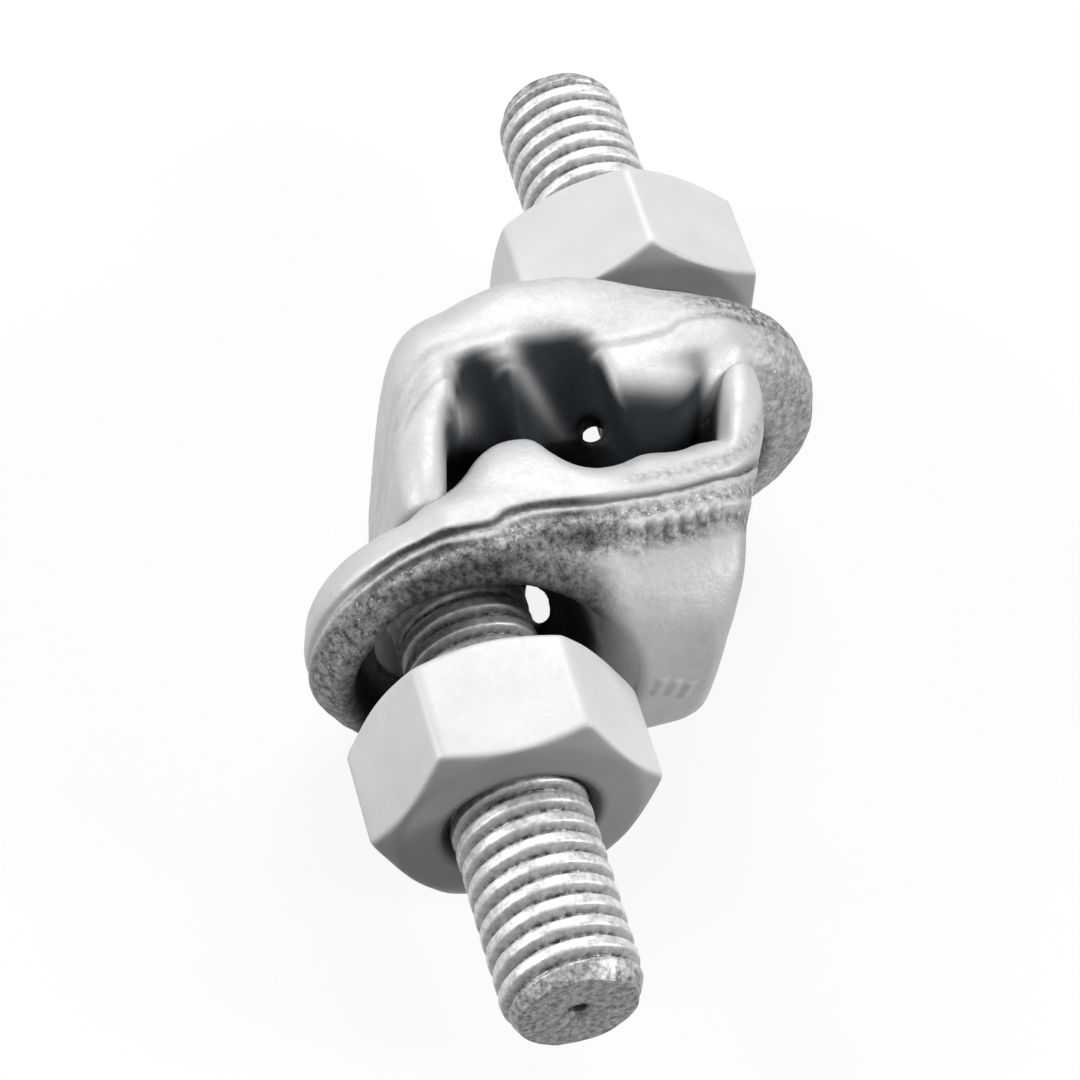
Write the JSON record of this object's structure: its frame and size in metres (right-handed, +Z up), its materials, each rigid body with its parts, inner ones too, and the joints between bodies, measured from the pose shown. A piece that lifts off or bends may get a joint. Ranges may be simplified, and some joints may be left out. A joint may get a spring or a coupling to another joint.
{
  "type": "wire rope clip",
  "caption": "Fist grip wire rope clip: two forged saddles with integral studs and heavy hex nuts clamp a doubled wire rope.",
  "frame": {"origin": "middle of the clip, on the surface that it lies on", "axes": "+Z up along the rope, +Y along the near saddle's stud towards the far saddle, +X from the near saddle's eye towards its stud"},
  "size_m": [0.0412, 0.077, 0.0226],
  "materials": {
    "forged_zinc": "hot-dip galvanised, grainy",
    "nut_zinc": "galvanised, smooth matte"
  },
  "bodies": {
    "near_saddle": {"near_saddle": "forged_zinc"},
    "far_saddle": {"far_saddle": "forged_zinc"},
    "near_nut": {"near_nut": "nut_zinc"},
    "far_nut": {"far_nut": "nut_zinc"}
  },
  "joints": [
    {"name": "saddle_slide", "type": "slide", "parent": "near_saddle", "child": "far_saddle", "axis": [0, 1, 0], "range_m": [0, 0.0127]},
    {"name": "far_nut_turn", "type": "hinge", "parent": "far_saddle", "child": "far_nut", "pos_m": [0.0095, 0.01966, 0.0113], "axis": [0, 1, 0], "range_deg": [-2, 2884]},
    {"name": "near_nut_turn", "type": "hinge", "parent": "near_saddle", "child": "near_nut", "pos_m": [-0.0095, -0.01936, 0.0113], "axis": [0, 1, 0], "range_deg": [-2884, 2]}
  ],
  "couplings": [
    {"joint": "far_nut_turn", "follows": "saddle_slide", "rad_per_m": 3957.9},
    {"joint": "near_nut_turn", "follows": "saddle_slide", "rad_per_m": -3957.9}
  ]
}
